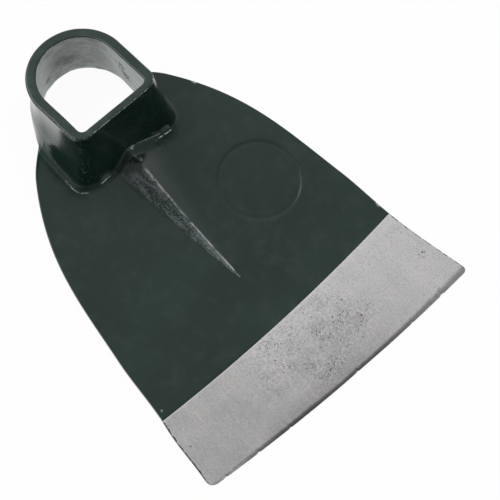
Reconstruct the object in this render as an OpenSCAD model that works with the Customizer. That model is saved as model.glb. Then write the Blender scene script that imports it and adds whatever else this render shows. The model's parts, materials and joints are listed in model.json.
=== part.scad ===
// Head of a grub hoe: a steel blade with a D-shaped eye that takes a wooden handle.
// It lies on its back: X runs across the blade, Y from the cutting edge to the eye, Z up from the back.

/* [Blade] */
// Width across the corners of the cutting edge
edge_w = 200; // [180:1:220]
// Distance from the corners of the cutting edge to the eye's axis, on the back of the blade
eye_y = 210; // [200:1:230]
// Thickness of the blade
plate_t = 3.5; // [2.5:0.1:5]
// How far the cutting edge bows out at its middle
edge_bow = 4; // [1:0.5:10]
// Distance from the edge to where the corners stop flaring
flare_y = 45; // [30:1:55]
// Blade width where the corners stop flaring
flare_w = 180; // [165:1:190]
// Distance from the edge to the waist
waist_y = 90; // [75:1:110]
// Blade width at the waist
waist_w = 170; // [150:1:185]
// Distance from the edge to the shoulders
shoulder_y = 155; // [140:1:165]
// Blade width at the shoulders
shoulder_w = 145; // [125:1:160]
// Distance from the neck, where the outline turns in to the eye, to the eye's axis
neck_back = 10; // [4:1:20]
// Blade width at the neck
neck_w = 98; // [84:1:110]
// How far past the eye's axis the shoulders reach along the eye's round side
horn_reach = 14; // [6:1:16]

/* [Edge steel] */
// Depth of the edge steel at the sides of the blade
steel_h = 50; // [35:1:60]
// How far the joint line bows toward the edge at its middle
steel_bow = 3.5; // [1:0.5:8]
// Thickness of the edge steel where the bevel starts
edge_t = 1.5; // [1:0.1:2.2]
// Width of the sharpened bevel
bevel_w = 2.5; // [1:0.1:6]
// Thickness left at the cutting edge
edge_land = 0.4; // [0.2:0.1:0.8]

/* [Eye] */
// Inside radius of the eye's round side
eye_r = 24; // [20:0.5:26]
// Distance from the eye's axis to the inside of its flat wall
eye_flat = 31; // [26:0.5:34]
// Inside radius of the two corners beside the flat wall
eye_corner_r = 3.5; // [2:0.1:6]
// Thickness of the round wall and the side walls
eye_wall = 6; // [5:0.1:8]
// Thickness of the flat wall
flat_wall = 4.4; // [3:0.1:7]
// Length of the eye's axis from the back of the blade to the rim
eye_len = 47.5; // [38:0.5:60]
// Lean of the eye's axis away from the cutting edge, in degrees
eye_lean = 13; // [5:0.5:18]
// How much wider than the bore the mouth is at the back
mouth_flare = 4; // [1:0.1:4.2]
// Depth of the flared mouth
mouth_depth = 12; // [6:0.5:20]

/* [Rib] */
// Length of the rib from the eye's foot to its tip
rib_len = 94; // [60:1:115]
// Sideways place of the rib's crest, left of the middle
rib_offset = 2; // [0:0.5:4]
// Width of the rib's left slope at the eye
rib_left_w = 13.5; // [9:0.5:16]
// Width of the rib's right slope at the eye
rib_right_w = 19; // [12:0.5:21]
// Height of the rib's crest at the eye
rib_h = 16; // [9:0.5:24]
// Width of the flat on the rib's crest
crest_w = 2.4; // [1:0.1:4]
// Half width and height of the rib at its blunt tip
rib_tip = 0.8; // [0.5:0.1:1.5]

/* [Welds] */
// Leg of the weld round the foot of the eye
eye_weld = 5; // [3:0.1:6.5]
// Leg of the welds along the rib
rib_weld = 2.5; // [1.5:0.1:4]

/* [Hidden] */
// Segments in each span of the outline, and sections along the rib
outline_steps = 8;
rib_steps = 10;
// Facets of the wide arcs and of the eye
wide_fn = 720;
eye_fn = 96;
// Room that cutting solids reach past what they cut
over = 10;

// Radius of an arc from its chord and its bow
function arc_r(chord, bow) = (chord * chord / 4 + bow * bow) / (2 * bow);

// The outline's half widths at its stations, from the edge to the ends of the shoulders
stations = [
    [0, edge_w / 2],
    [flare_y, flare_w / 2],
    [waist_y, waist_w / 2],
    [shoulder_y, shoulder_w / 2],
    [eye_y - neck_back, neck_w / 2],
    [eye_y + horn_reach, eye_r]
];
last = len(stations) - 1;

// Slope of the outline at a station, from its neighbours
function slope(i) =
    let (a = stations[max(i - 1, 0)], b = stations[min(i + 1, last)])
    (b[1] - a[1]) / (b[0] - a[0]);

// Half width of the blade at distance t along the span after station i, with t from 0 to 1
function half_w(i, t) =
    let (
        a = stations[i],
        b = stations[i + 1],
        span = b[0] - a[0]
    )
    (2 * pow(t, 3) - 3 * pow(t, 2) + 1) * a[1]
    + (pow(t, 3) - 2 * pow(t, 2) + t) * span * slope(i)
    + (3 * pow(t, 2) - 2 * pow(t, 3)) * b[1]
    + (pow(t, 3) - pow(t, 2)) * span * slope(i + 1);

// The right side of the blade, which starts below the edge's corners so that the edge's arc cuts it
side_points = concat(
    [[stations[0][1] - slope(0) * (edge_bow + over), -edge_bow - over]],
    [
        for (i = [0 : last - 1], k = [0 : outline_steps - 1])
            let (t = k / outline_steps)
            [half_w(i, t), stations[i][0] + t * (stations[i + 1][0] - stations[i][0])]
    ],
    [[stations[last][1], stations[last][0]]]
);
blade_points = concat(
    side_points,
    [for (k = [len(side_points) - 1 : -1 : 0]) [-side_points[k][0], side_points[k][1]]]
);

// The cutting edge and the joint line of the edge steel
edge_r = arc_r(edge_w, edge_bow);
joint_r = arc_r(flare_w, steel_bow);
joint_mid_y = steel_h - steel_bow;
grind_angle = atan((plate_t - edge_t) / joint_mid_y);
bevel_slope = bevel_w / (edge_t - edge_land);

// The eye's outside
eye_out_r = eye_r + eye_wall;
eye_out_flat = eye_flat + flat_wall;
eye_out_corner_r = eye_corner_r + (eye_wall + flat_wall) / 2;

// Where the flat wall's outside stands at height z above the back
function flat_wall_y(z) = eye_y - eye_out_flat / cos(eye_lean) + z * tan(eye_lean);

// The foot of the eye on the blade's front
foot_y = flat_wall_y(plate_t);
rib_tip_y = foot_y - rib_len;
foot_corner_x = eye_out_r - eye_out_corner_r;
foot_corner_y = foot_y + eye_out_corner_r;

// The whole head's length, with its middle at the origin
rim_y = eye_y + eye_len * sin(eye_lean) + eye_out_r * cos(eye_lean);
mid_y = (rim_y - edge_bow) / 2;

steel_green = [0.18, 0.23, 0.21];
bare_steel = [0.67, 0.66, 0.67];

// Puts the middle of the head's length at the origin
module centred() {
    translate([0, -mid_y, 0]) children();
}

// Sets a shape along the eye's leaning axis, with the axis's foot on the back of the blade
module on_eye_axis() {
    translate([0, eye_y, 0]) rotate([-eye_lean, 0, 0]) children();
}

// D section with its round side toward +Y and its flat wall toward -Y
module d_section(r, flat, corner_r) {
    circle(r = r, $fn = eye_fn);
    translate([-r, -(flat - corner_r)]) square([2 * r, flat - corner_r]);
    translate([-(r - corner_r), -flat]) square([2 * (r - corner_r), flat]);
    for (x = [-1, 1])
        translate([x * (r - corner_r), -(flat - corner_r)]) circle(r = corner_r, $fn = eye_fn);
}

// Leaning D column that runs from below the blade to a given length along the axis
module d_column(r, flat, corner_r, top) {
    below = eye_out_flat * sin(eye_lean) + over;
    on_eye_axis()
        translate([0, 0, -below])
            linear_extrude(height = below + top) d_section(r, flat, corner_r);
}

module eye_outside() {
    d_column(eye_out_r, eye_out_flat, eye_out_corner_r, eye_len);
}

module eye_bore() {
    d_column(eye_r, eye_flat, eye_corner_r, eye_len + over);
}

// Everything above the back of the blade
module above_back() {
    reach = edge_w + eye_y;
    translate([-reach, -reach, 0]) cube([2 * reach, 3 * reach, reach]);
}

module blade_outline() {
    linear_extrude(height = plate_t) polygon(blade_points);
}

// Wide disc whose front is the joint line between the blade plate and the edge steel
module joint_disc() {
    translate([0, joint_mid_y + joint_r, -over])
        cylinder(r = joint_r, h = plate_t + 2 * over, $fn = wide_fn);
}

// Wide disc whose rim is the cutting edge with its bevel
module edge_disc() {
    top = plate_t + 1;
    translate([0, edge_r - edge_bow, 0])
        rotate_extrude($fn = wide_fn)
            polygon([
                [0, -1],
                [edge_r, -1],
                [edge_r, edge_land],
                [edge_r - (top - edge_land) * bevel_slope, top],
                [0, top]
            ]);
}

// Block whose top is the ground face that slopes down to the cutting edge
module grind_block() {
    depth = joint_mid_y + edge_bow + over;
    translate([0, joint_mid_y, plate_t])
        rotate([grind_angle, 0, 0])
            translate([-edge_w, -depth, -2 * over])
                cube([2 * edge_w, 2 * depth, 2 * over]);
}

module blade_plate() {
    color(steel_green)
        centred()
            difference() {
                intersection() {
                    blade_outline();
                    joint_disc();
                }
                eye_outside();
            }
}

module edge_steel() {
    color(bare_steel)
        centred()
            difference() {
                intersection() {
                    blade_outline();
                    edge_disc();
                    grind_block();
                }
                joint_disc();
            }
}

module eye_socket() {
    color(steel_green)
        centred()
            difference() {
                intersection() {
                    eye_outside();
                    above_back();
                }
                eye_bore();
                translate([0, eye_y, -over])
                    cylinder(
                        r1 = eye_r + mouth_flare * (1 + over / mouth_depth),
                        r2 = eye_r,
                        h = mouth_depth + over,
                        $fn = eye_fn
                    );
            }
}

// The rib's section at share u of its length from the tip: left toe, crest's two edges, right toe
function rib_section(u) =
    let (
        rise = rib_tip + (rib_h - rib_tip) * u * u,
        land = min(crest_w / 2, rib_tip / 2 + u * crest_w),
        left = rib_tip + (rib_left_w - rib_tip) * u,
        right = rib_tip + (rib_right_w - rib_tip) * u,
        toe_y = rib_tip_y + u * rib_len,
        crest_y = rib_tip_y + u * (flat_wall_y(plate_t + rise) - rib_tip_y)
    )
    [
        [-rib_offset - left, toe_y, plate_t],
        [-rib_offset - land, crest_y, plate_t + rise],
        [-rib_offset + land, crest_y, plate_t + rise],
        [-rib_offset + right, toe_y, plate_t]
    ];

// Solid through a row of sections that have the same number of points
module loft(sections) {
    n = len(sections[0]);
    rows = len(sections);
    skin = [
        for (i = [0 : rows - 2], k = [0 : n - 1])
            let (a = i * n + k, b = i * n + (k + 1) % n)
            each [[a, b + n, b], [a, a + n, b + n]]
    ];
    caps = [
        [for (k = [0 : n - 1]) k],
        [for (k = [n - 1 : -1 : 0]) (rows - 1) * n + k]
    ];
    polyhedron(points = [for (s = sections) each s], faces = concat(skin, caps));
}

module rib_solid() {
    loft([for (i = [0 : rib_steps]) rib_section(i / rib_steps)]);
}

// The rib's shape reaching on below its toes and into the eye's wall, for cutting the welds beside it
module rib_cutter() {
    loft([
        for (i = [0 : rib_steps + 1])
            let (section = rib_section(i / rib_steps), down = [0, 0, -over])
            concat([section[0] + down], section, [section[3] + down])
    ]);
}

module stiffening_rib() {
    color(steel_green) centred() rib_solid();
}

// Weld round one side of the eye's foot, for side = -1 on the left and 1 on the right
module socket_weld(side) {
    run = eye_y + horn_reach - foot_corner_y;
    reach = eye_out_corner_r + eye_weld;
    rib_toe = side < 0 ? rib_left_w + rib_offset : rib_right_w - rib_offset;
    difference() {
        intersection() {
            mirror([side < 0 ? 1 : 0, 0, 0]) {
                translate([foot_corner_x, foot_corner_y + run, plate_t])
                    rotate([90, 0, 0])
                        linear_extrude(height = run)
                            polygon([[0, 0], [reach, 0], [eye_out_corner_r, eye_weld], [0, eye_weld]]);
                translate([foot_corner_x, foot_corner_y, plate_t])
                    cylinder(r1 = reach, r2 = eye_out_corner_r, h = eye_weld, $fn = eye_fn);
                translate([rib_toe - eye_weld, foot_corner_y, plate_t])
                    rotate([90, 0, 90])
                        linear_extrude(height = foot_corner_x - rib_toe + eye_weld)
                            polygon([[0, 0], [-reach, 0], [-eye_out_corner_r, eye_weld], [0, eye_weld]]);
            }
            translate([0, 0, plate_t]) linear_extrude(height = eye_weld) polygon(blade_points);
        }
        eye_outside();
        rib_cutter();
    }
}

module socket_weld_left() {
    color(steel_green) centred() socket_weld(-1);
}

module socket_weld_right() {
    color(steel_green) centred() socket_weld(1);
}

// Section of the weld along the rib's toe on one side, before the rib is cut out of it
function rib_weld_section(u, side) =
    let (
        section = rib_section(u),
        toe = side < 0 ? section[0] : section[3],
        leg = rib_weld * min(1, 0.2 + 2 * u),
        inner = toe - [side * leg, 0, 0],
        outer = toe + [side * leg, 0, 0],
        top = [0, 0, leg]
    )
    side < 0 ? [outer, inner + top, inner] : [inner, inner + top, outer];

// Weld along one side of the rib up to the eye's weld, for side = -1 on the left and 1 on the right
module rib_toe_weld(side) {
    stop = 1 - eye_weld / rib_len;
    difference() {
        loft([for (i = [1 : rib_steps]) rib_weld_section(stop * i / rib_steps, side)]);
        rib_cutter();
    }
}

module rib_weld_left() {
    color(steel_green) centred() rib_toe_weld(-1);
}

module rib_weld_right() {
    color(steel_green) centred() rib_toe_weld(1);
}

blade_plate();
edge_steel();
eye_socket();
stiffening_rib();
socket_weld_left();
socket_weld_right();
rib_weld_left();
rib_weld_right();
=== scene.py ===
"""Scene for the head of a grub hoe: finer models of its pieces, their finishes, light and camera."""

import json
import math
from collections import namedtuple
from itertools import zip_longest

import bmesh
import bpy
from mathutils import Matrix, Vector, noise


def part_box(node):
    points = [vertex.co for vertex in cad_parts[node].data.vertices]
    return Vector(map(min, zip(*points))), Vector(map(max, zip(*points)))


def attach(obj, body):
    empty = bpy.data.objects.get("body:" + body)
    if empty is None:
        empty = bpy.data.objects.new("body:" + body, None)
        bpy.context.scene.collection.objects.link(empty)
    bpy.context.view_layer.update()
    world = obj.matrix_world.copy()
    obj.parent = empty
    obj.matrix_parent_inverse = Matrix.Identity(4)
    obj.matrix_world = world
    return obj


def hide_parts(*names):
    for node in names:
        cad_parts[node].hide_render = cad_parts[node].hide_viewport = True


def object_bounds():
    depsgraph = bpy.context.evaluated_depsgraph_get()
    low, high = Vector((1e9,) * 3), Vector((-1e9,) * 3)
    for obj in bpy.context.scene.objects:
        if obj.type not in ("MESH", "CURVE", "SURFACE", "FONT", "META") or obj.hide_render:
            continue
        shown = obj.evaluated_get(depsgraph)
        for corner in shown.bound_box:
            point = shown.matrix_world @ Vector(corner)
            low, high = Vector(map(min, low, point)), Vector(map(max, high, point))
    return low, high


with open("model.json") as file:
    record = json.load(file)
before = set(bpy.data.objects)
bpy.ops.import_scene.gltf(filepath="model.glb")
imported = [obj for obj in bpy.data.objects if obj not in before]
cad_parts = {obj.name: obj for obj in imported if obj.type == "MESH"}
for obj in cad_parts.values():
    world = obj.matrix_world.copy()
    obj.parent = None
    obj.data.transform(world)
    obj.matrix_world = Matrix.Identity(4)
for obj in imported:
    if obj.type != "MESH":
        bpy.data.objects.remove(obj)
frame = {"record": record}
cad_low, cad_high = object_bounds()

# Millimetres to the frame's metres
MM = 0.001

# Blade outline: distance from the corners of the cutting edge, and half width there; its rounds, by side
OUTLINE = ((0, 100), (45, 90), (90, 85), (155, 72.5), (200, 49.8), (224, 24))
EDGE_HALF = OUTLINE[0][1]
EDGE_BOW = 4.0
PLATE_ROUND = 0.6
CORNER_ROUND = {-1: 5.5, 1: 3.0}

# Wear of the left corner, and skew of the sharpened edge
CORNER_WEAR = 4.6
CORNER_WEAR_REACH = 42.0
EDGE_SKEW = -0.014
EDGE_SET_BACK = 0.45

# Edge steel: its joint with the plate and the lip of paint there, its ground slope, edge and sides
JOINT_MID_Y = 46.5
JOINT_CHORD = 180.0
JOINT_BOW = 3.5
JOINT_SKEW = 0.032
PAINT_LIP = 0.14
LIP_REACH = 0.5
GROUND_EDGE_T = 1.5
EDGE_LAND = 0.35
STEEL_ROUND = 0.5

# Bevel: its width, the share of it at its ends, by side, how far these reach, and its soft top
BEVEL_WIDTH = 2.3
BEVEL_END = {-1: 0.4, 1: 1.6}
BEVEL_END_REACH = 50.0
BEVEL_BLEND = 0.12

# Eye: its D section and its length
EYE_FLAT = 31.0
EYE_CORNER = 3.5
EYE_WALL = 6.2
EYE_FLAT_WALL = 4.4
EYE_LENGTH = 47.5

# Eye's outside: flares as amount and power, waists as amount and height, front's share of the right flare
LEFT_FLARE = (5.0, 2.6)
LEFT_WAIST = (0.6, 0.6)
BACK_FLARE = (2.7, 1.1)
BACK_WAIST = (1.4, 0.7)
RIGHT_FLARE = (7.6, 1.1)
FRONT_FLARE = 0.35

# Where these take over round the eye, as parts of the outward direction
FLARE_TURN = (-0.95, -0.25)
BACK_TURN = (0.0, 0.45)
RIGHT_TURN = (-0.2, 0.6)

# Bore: how far it widens, how much less on its tight side, and the lip at its mouth
BORE_FLARE = 4.2
BORE_TIGHT = 0.3
TIGHT_SIDE = (-0.8, 0.6)
MOUTH_LIP = 1.6
MOUTH_DEPTH = 2.4

# Rim of the eye, and the height of the run of paint at its right corner
RIM_OUTER_ROUND = 1.2
RIM_INNER_ROUND = 0.9
RUN_HEIGHT = 0.8

# Rib: its reach from the eye's foot, its section there, its tip, the curves of its toes, its sunk head
RIB_LENGTH = 94.0
RIB_CREST_X = -1.0
RIB_LEFT = 11.0
RIB_RIGHT = 21.0
RIB_HEIGHT = 15.0
RIB_CREST_W = 0.7
RIB_TIP = 0.6
RIB_LEFT_FULL = 0.3
RIB_RIGHT_POWER = 1.35
RIB_HOLLOW = 1.1
RIB_HEAD_SINK = 0.4
RIB_HEAD_FROM = 0.8

# Share of the rib's length that is bare at crest and left toe, how that ends, and how coarse the toe is
RIB_BARE_CREST = 0.875
RIB_BARE_TOE = 0.97
RIB_BARE_FADE = 0.06
TOE_CAST = 0.8

# The eye's welds: reach and climb over the rib's head and, by side, at front and flank; a bead's fill
WELD_HEAD = (5.6, 3.4)
WELD_FRONT = {-1: (3.8, 4.8), 1: (6.4, 5.6)}
WELD_FLANK = {-1: (3.6, 8.0), 1: (3.2, 5.0)}
WELD_FILL = 0.12

# The rib's welds: leg and, by side, the share of it on the plate and the place of the top from crest to toe
RIB_WELD = 2.6
RIB_WELD_REACH = {-1: 0.5, 1: 1.6}
RIB_WELD_TOP = {-1: 0.78, 1: 0.66}

# How far a piece reaches into one that it is welded to, and the eye's foot stays above the back
EMBED = 0.6
BACK_LIFT = 0.2

# Unevenness, as layers of noise: height, grain size and seed, and how far seeds lie apart
SEED_STEP = 17.3
PLATE_UNEVEN = ((0.25, 48, 1), (0.12, 15, 2), (0.02, 4.5, 3))
EDGE_UNEVEN = ((0.12, 2.2, 3),)
KNOCK_UNEVEN = ((0.5, 1.1, 5),)
BEVEL_UNEVEN = ((0.35, 38, 6), (0.15, 9, 7))
GROUND_LINES = ((0.035, 5, 8),)
GROUND_WAVES = ((0.05, 26, 9),)
MOUTH_UNEVEN = ((0.45, 3.2, 11),)
EYE_UNEVEN = ((0.14, 19, 12), (0.03, 6, 13))
RIM_UNEVEN = ((0.12, 7, 14),)
CORNER_UNEVEN = ((0.2, 2.0, 15),)
RIB_UNEVEN = ((0.22, 1.7, 21), (0.35, 6, 22))
CREST_UNEVEN = ((0.22, 3, 23),)
SLOPE_UNEVEN = ((0.08, 9, 24),)
EYE_WELD_UNEVEN = ((0.07, 2.6, 32), (0.10, 7, 33))
RIB_WELD_UNEVEN = {-1: ((0.12, 1.6, 42), (0.24, 6, 43)), 1: ((0.06, 6, 44),)}

# Plain round recess struck in the plate's front, with a shallow groove inside its wall
RECESS_PLACE = (46.2, 116.6)
RECESS_R = 24.0
RECESS_DEPTH = 0.34
RECESS_WALL = 1.6
GROOVE_R = RECESS_R - 0.6
GROOVE_DEPTH = 0.6 * RECESS_DEPTH
GROOVE_HALF = 1.0

# Paint knocked off the plate's rim: x, y and radius, how fully, and how sharply that ends
KNOCKS = ((88.2, 60.7, 1.7), (58.7, 186.0, 1.5), (-86.3, 51.8, 0.65))
KNOCK_FULL = 1.6
KNOCK_SHARP = 1.3

# Nicks in the cutting edge: x, half width and depth
NICKS = (
    (-84.0, 1.8, 0.4), (-61.0, 1.6, 0.5), (-38.0, 1.1, 0.4),
    (12.0, 1.5, 0.4), (55.0, 1.2, 0.35), (79.0, 2.0, 0.5),
)

# Bare patches that stand in for painted glints on the toe of the eye's weld and on the rib's head: x, y, z
# and radius
TOE_GLINTS = (
    (-36.0, 187.0, 5.0, 2.5), (-35.4, 182.0, 5.0, 3.5), (-33.5, 176.5, 5.0, 2.5),
    (18.8, 169.1, 5.0, 1.3), (26.6, 168.8, 5.0, 1.1), (34.0, 168.4, 5.0, 1.2),
)
HEAD_GLINTS = ((2.2, 176.0, 14.4, 1.5), (0.8, 171.0, 13.7, 1.7), (2.2, 168.4, 13.0, 1.8))

# Stains and gouges in the bore: x, y, z and radius
BORE_STAINS = ((9.1, 239.6, 17.5, 5.5), (5.0, 241.2, 20.0, 5.0), (-6.6, 239.9, 12.0, 3.0))
BORE_GOUGES = ((25.3, 213.5, 31.5, 4.2), (26.1, 210.6, 24.0, 4.6), (26.5, 208.4, 19.0, 4.4))

# The side of the bore in painted shade: its direction, and where the shade begins and is full, as parts of
# that
BORE_SHADE_SIDE = (0.5, 0.87)
BORE_SHADE_TURN = (0.55, 0.9)

# Run of paint at the eye's right corner: x, y, z and radius
PAINT_RUN = (33.6, 178.6, 9.5, 1.4)

# Pitted places on the ground steel: x, y and radius
PIT_FIELDS = (
    (-16.0, 34.0, 30.0), (20.0, 25.0, 32.0), (36.0, 19.0, 14.0), (87.0, 24.0, 7.0), (-2.0, 12.0, 20.0),
)

# Single deep pits in it: x, y and radius
DEEP_PITS = (
    (35.8, 19.0, 1.0), (0.8, 6.9, 0.9), (33.3, 33.0, 0.8),
    (21.0, 26.5, 0.8), (-87.5, 26.2, 0.9), (87.4, 23.3, 0.8),
)

# Where painted shade darkens the ground steel: along the middle of the edge, and a little at the left
SHADE_X = -8.0
SHADE_HALF = 62.0
SHADE_REACH = 14.0
SHADE_LEFT = 0.35
SHADE_LEFT_X = (-30.0, -70.0)
SHADE_LEFT_Y = (34.0, 17.0)

# Where the ground steel is drawn brighter with painted light: toward the right, and below the joint
LIGHT_REACH = 90.0
LIGHT_TOP_X = (-50.0, -15.0)
LIGHT_TOP_DOWN = 24.0

# Reach of marks from the sides of plate and steel, of the painted highlight below the joint, and of wear at
# the eye's rim and of its chips, which also stand in for painted glints
PLATE_RIM = 1.6
STEEL_RIM = 1.3
JOINT_HIGHLIGHT = 1.3
EYE_RIM = 3.0
EYE_CHIP_GLINTS = 1.3

# The frame's own values: the plate's thickness, the middle of the length, the eye's radius and axis
plate_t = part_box("blade_plate")[1].z / MM
mid_y = -cad_low.y / MM - EDGE_BOW
eye_mount = next(m for m in frame["record"]["mounts"] if m["name"] == "eye")
eye_r = eye_mount["dims"]["r_mm"]
lean_sin = -eye_mount["axis"][1]
lean_cos = -eye_mount["axis"][2]
lean_tan = lean_sin / lean_cos
eye_y = (eye_mount["pos_m"][1] - eye_mount["pos_m"][2] * lean_tan) / MM + mid_y

# The eye's outside, the foot of its flat wall, the end of the plate before it, and the rib's tip
eye_out_flat = EYE_FLAT + EYE_FLAT_WALL
eye_out_r = eye_r + EYE_WALL
eye_out_corner = EYE_CORNER + (EYE_WALL + EYE_FLAT_WALL) / 2
foot_y = eye_y - eye_out_flat / lean_cos + plate_t * lean_tan
plate_end = foot_y + EMBED
rib_tip_y = foot_y - RIB_LENGTH


# Small helpers


def lerp(a, b, share):
    return a + (b - a) * share


def ease(share):
    """0 to 1 with soft ends."""
    share = min(max(share, 0.0), 1.0)
    return share * share * (3 - 2 * share)


def fade(distance, reach, beyond=0.0):
    """1 close by, easing to 0 at a reach and a share of it beyond."""
    return ease(1 + beyond - distance / reach)


def rough(x, y, z, size, seed):
    """Smooth noise of a given grain size, from about -1 to 1."""
    return noise.noise((x / size, y / size, z / size + SEED_STEP * seed))


def uneven(layers, x, y=0, z=0):
    """Sum of layers of noise."""
    return sum(height * rough(x, y, z, size, seed) for height, size, seed in layers)


def rise(value, start, stop=1.0):
    """0 at a start, easing to 1 at a stop."""
    return ease((value - start) / (stop - start))


def round_drop(distance, radius):
    """How far a rounded edge has dropped at a distance inside that edge."""
    inward = max(radius - max(distance, 0.0), 0.0)
    return radius - math.sqrt(radius * radius - inward * inward)


def arc_rise(chord, bow, x):
    """Height of a shallow arc above its middle."""
    radius = (chord * chord / 4 + bow * bow) / (2 * bow)
    return radius - math.sqrt(radius * radius - x * x)


def outline_slope(i):
    a = OUTLINE[max(i - 1, 0)]
    b = OUTLINE[min(i + 1, len(OUTLINE) - 1)]
    return (b[1] - a[1]) / (b[0] - a[0])


def half_width(y):
    """Half width of the blade, on a smooth curve through the outline."""
    i = 0
    while i < len(OUTLINE) - 2 and y > OUTLINE[i + 1][0]:
        i += 1
    a, b = OUTLINE[i], OUTLINE[i + 1]
    span = b[0] - a[0]
    t = (y - a[0]) / span
    if t < 0:
        return a[1] + outline_slope(i) * t * span
    start = (2 * t ** 3 - 3 * t ** 2 + 1) * a[1] + (t ** 3 - 2 * t ** 2 + t) * span * outline_slope(i)
    end = (3 * t ** 2 - 2 * t ** 3) * b[1] + (t ** 3 - t ** 2) * span * outline_slope(i + 1)
    return start + end


def side_reach(y, side):
    """How far the blade reaches on its left, -1, whose corner is worn, or its right, 1."""
    worn = CORNER_WEAR * fade(y, CORNER_WEAR_REACH) if side < 0 else 0.0
    return half_width(y) - worn


def nick_depth(x):
    """How deep the cutting edge is nicked at x."""
    nicks = sum(deep * fade(abs(x - place), half) for place, half, deep in NICKS)
    return nicks + max(0.0, uneven(EDGE_UNEVEN, x))


def edge_line(x):
    line = -EDGE_BOW + arc_rise(2 * EDGE_HALF, EDGE_BOW, x) + EDGE_SKEW * x
    return max(line, -EDGE_BOW) + EDGE_SET_BACK + nick_depth(x)


def joint_line(x):
    return JOINT_MID_Y + arc_rise(JOINT_CHORD, JOINT_BOW, x) + JOINT_SKEW * x


def spaced(length, fine, count):
    """Distances from 0 to length: fine ones, squeezed to a third of it at most, then even ones."""
    squeeze = min(1.0, length / (3 * fine[-1]))
    lead = [f * squeeze for f in fine]
    return lead + [lerp(lead[-1], length, k / count) for k in range(1, count + 1)]


def flat_wall_y(z):
    """Where the outside of the eye's flat wall stands at height z."""
    return eye_y - eye_out_flat / lean_cos + z * lean_tan


def near(spot, places, beyond=0.4):
    """1 in the middle of any of some places, fading to 0 a little beyond its radius."""
    return max(fade(math.dist(spot, place), radius, beyond) for *place, radius in places)


# Meshes

MERGE_DISTANCE = 0.002
CREASE_ANGLE = math.radians(50)

# Rounds in which a grid point's x and y settle, as each depends on the other
SETTLE_ROUNDS = 4


class Skin:
    """Points, faces and marks of one piece, in millimetres from the corners of the cutting edge."""

    def __init__(self):
        self.points = []
        self.faces = []
        self.marks = {}

    def point(self, x, y, z, **marks):
        self.points.append((x, y, z))
        for key, value in marks.items():
            self.marks.setdefault(key, {})[len(self.points) - 1] = value
        return len(self.points) - 1

    def quads(self, rows, closed=False):
        """Faces between neighbouring rows of points."""
        for low, high in zip(rows, rows[1:]):
            last = len(low) if closed else len(low) - 1
            for k in range(last):
                n = (k + 1) % len(low)
                self.faces.append((low[k], low[n], high[n], high[k]))

    def bar(self, rows):
        """Faces round closed rows of points, and over both ends."""
        self.quads(rows, closed=True)
        self.faces.append(tuple(reversed(rows[0])))
        self.faces.append(tuple(rows[-1]))

    def thicken(self, back):
        """Closes a sheet: back gives each point's place on the far side, and walls join the two rims."""
        count = len(self.points)
        front = list(self.faces)
        for i in range(count):
            self.point(*back(*self.points[i]))
            for values in self.marks.values():
                if i in values:
                    values[count + i] = values[i]
        self.faces += [tuple(count + i for i in reversed(face)) for face in front]
        used = {}
        for face in front:
            for a, b in zip(face, face[1:] + face[:1]):
                used[frozenset((a, b))] = None if frozenset((a, b)) in used else (a, b)
        for rim in filter(None, used.values()):
            a, b = rim
            self.faces.append((b, a, count + a, count + b))


def place(name, data):
    """New object in the scene."""
    thing = bpy.data.objects.new(name, data)
    bpy.context.scene.collection.objects.link(thing)
    return thing


def make_piece(node, skin, finish):
    """Turns a skin into a piece that stands for a CAD node."""
    name = node + "_piece"
    mesh = bpy.data.meshes.new(name)
    mesh.from_pydata([Vector((x, y - mid_y, z)) * MM for x, y, z in skin.points], [], skin.faces)
    for key, values in skin.marks.items():
        mark = mesh.attributes.new(key, "FLOAT", "POINT")
        for i, value in values.items():
            mark.data[i].value = value
    shape = bmesh.new()
    shape.from_mesh(mesh)
    bmesh.ops.remove_doubles(shape, verts=shape.verts, dist=MERGE_DISTANCE * MM)
    bmesh.ops.recalc_face_normals(shape, faces=shape.faces)
    for face in shape.faces:
        face.smooth = True
    for edge in shape.edges:
        edge.smooth = edge.calc_face_angle(0.0) < CREASE_ANGLE
    shape.to_mesh(mesh)
    shape.free()
    mesh.materials.append(finish)
    piece = place(name, mesh)
    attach(piece, "root")
    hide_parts(node)
    return piece


# Blade plate

SIDE_FINE = (0, 0.15, 0.35, 0.6, 0.9, 1.3, 2.0)
JOINT_FINE = (0, 0.15, 0.35, 0.6, 1.0)
SIDE_COUNT = 72
MID_COUNT = 48
LENGTH_COUNT = 130
HORN_COUNT = 56

# Least room beside the eye for a horn of the plate, and how far in from side and joint the plate is even
HORN_ROOM = 0.4
EVEN_SIDE = 3.0
EVEN_JOINT = 2.0


def eye_foot_x(y):
    """Half width of the plate's opening at y, inside the eye's wall so that no gap shows."""
    r = eye_out_r + EMBED
    corner = eye_out_corner
    v = (y - eye_y - plate_t / 2 * lean_tan) * lean_cos
    if v > 0:
        return math.sqrt(max(r * r - v * v, 0.0))
    into_corner = max(corner - eye_out_flat - v, 0.0)
    return r - corner + math.sqrt(max(corner * corner - into_corner * into_corner, 0.0))


def plate_relief(x, y):
    """Unevenness of the forged plate, with the plain round recess."""
    from_middle = math.dist((x, y), RECESS_PLACE)
    recess = RECESS_DEPTH * ease((RECESS_R - from_middle) / RECESS_WALL + 0.5)
    groove = GROOVE_DEPTH * math.exp(-(((from_middle - GROOVE_R) / GROOVE_HALF) ** 2))
    return uneven(PLATE_UNEVEN, x, y) - recess - groove


def knock(x, y):
    """1 where the paint is knocked off the plate's rim, with a ragged outline."""
    nearest = min(math.dist((x, y), place) / radius for *place, radius in KNOCKS)
    return ease(KNOCK_FULL - KNOCK_SHARP * (nearest + uneven(KNOCK_UNEVEN, x, y)))


def plate_front(x, y, from_side, from_joint=JOINT_MID_Y):
    """Height of the plate's front, which rounds off at its sides and ends in a lip of paint."""
    drop = round_drop(from_side, PLATE_ROUND) + PAINT_LIP * fade(from_joint, LIP_REACH)
    return plate_t - drop + plate_relief(x, y) * ease(from_side / EVEN_SIDE) * ease(from_joint / EVEN_JOINT)


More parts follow.
